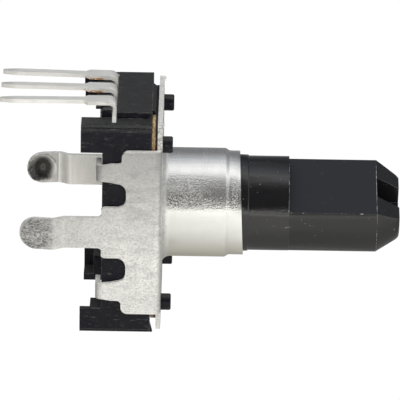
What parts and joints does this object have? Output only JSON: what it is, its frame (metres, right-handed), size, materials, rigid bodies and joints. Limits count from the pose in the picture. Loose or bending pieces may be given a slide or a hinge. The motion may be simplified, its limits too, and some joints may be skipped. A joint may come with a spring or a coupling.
{
  "type": "rotary encoder",
  "caption": "Board-mount rotary encoder with an insulated D-cut shaft in a drawn steel sleeve, folded steel cover, black case, rearward pins and snap-in legs.",
  "frame": {"origin": "on the shaft's axis, at the front face of the cover's front plate", "axes": "+X along the shaft towards its tip, +Z towards the side that the terminals leave from"},
  "size_m": [0.0252, 0.0128, 0.0147],
  "materials": {
    "plated_steel": "tin-plated stamping with fine handling marks",
    "brown_sheet": "brown resin-bonded sheet",
    "bronze": "bare phosphor bronze",
    "case_plastic": "black glass-filled moulding, semi-matte",
    "tinned_pin": "dull tin plating with copper-coloured sheared edges",
    "shaft_plastic": "black moulding, satin flat and glossy round part",
    "natural_plastic": "natural acetal",
    "disc_brass": "bare brass",
    "spring_steel": "spring steel"
  },
  "bodies": {
    "housing": {"cover_bracket": "plated_steel", "insulating_sheet": "brown_sheet", "detent_spring": "bronze", "case": "case_plastic", "terminal_base": "case_plastic", "terminal_a": "tinned_pin", "terminal_c": "tinned_pin", "terminal_b": "tinned_pin", "wiper_a": "bronze", "wiper_c": "bronze", "wiper_b": "bronze", "thrust_washer": "natural_plastic"},
    "rotor": {"shaft": "shaft_plastic", "detent_wheel": "natural_plastic", "code_disc": "disc_brass", "retaining_ring": "spring_steel"}
  },
  "joints": [
    {"name": "shaft_spin", "type": "hinge", "parent": "housing", "child": "rotor", "pos_m": [0, 0, 0], "axis": [1, 0, 0], "continuous": true}
  ]
}
